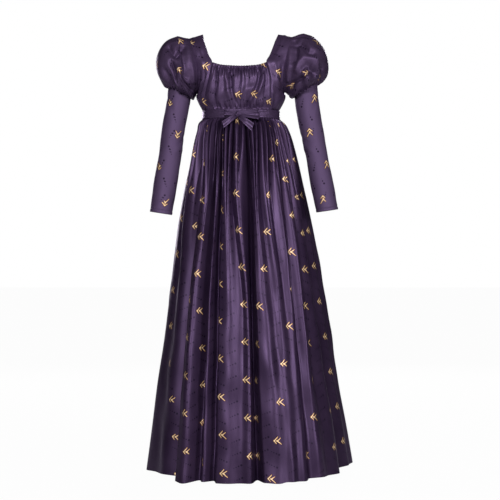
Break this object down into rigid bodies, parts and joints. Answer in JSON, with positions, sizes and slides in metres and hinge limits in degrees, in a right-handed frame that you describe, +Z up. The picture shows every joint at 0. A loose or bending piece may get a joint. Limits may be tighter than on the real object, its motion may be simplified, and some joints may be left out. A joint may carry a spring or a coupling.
{
  "type": "gown",
  "caption": "Worn, hollow high-waisted gown: square gathered neckline, band with a tied bow, puffed upper sleeves, long fitted lower sleeves and a full gathered floor-length skirt",
  "frame": {"origin": "midway between the two shoulder straps at their highest points, where the wearer's shoulders carry the gown", "axes": "+Z up, +X towards the wearer's left, the front faces -Y"},
  "size_m": [0.6703, 0.6532, 1.403],
  "materials": {
    "satin": "dark plum satin with a small printed sprig",
    "satin_tie": "dark plum satin"
  },
  "bodies": {
    "root": {"bodice_front": "satin", "bodice_back": "satin", "bodice_side_front_right": "satin", "bodice_side_back_right": "satin", "bodice_side_front_left": "satin", "bodice_side_back_left": "satin", "sleeve_puff_right": "satin", "sleeve_lower_right": "satin", "sleeve_puff_left": "satin", "sleeve_lower_left": "satin", "waist_band": "satin_tie", "skirt_front": "satin", "skirt_back": "satin", "bow_knot": "satin_tie", "bow_loop_right": "satin_tie", "bow_tail_right": "satin_tie", "bow_loop_left": "satin_tie", "bow_tail_left": "satin_tie"}
  },
  "joints": []
}
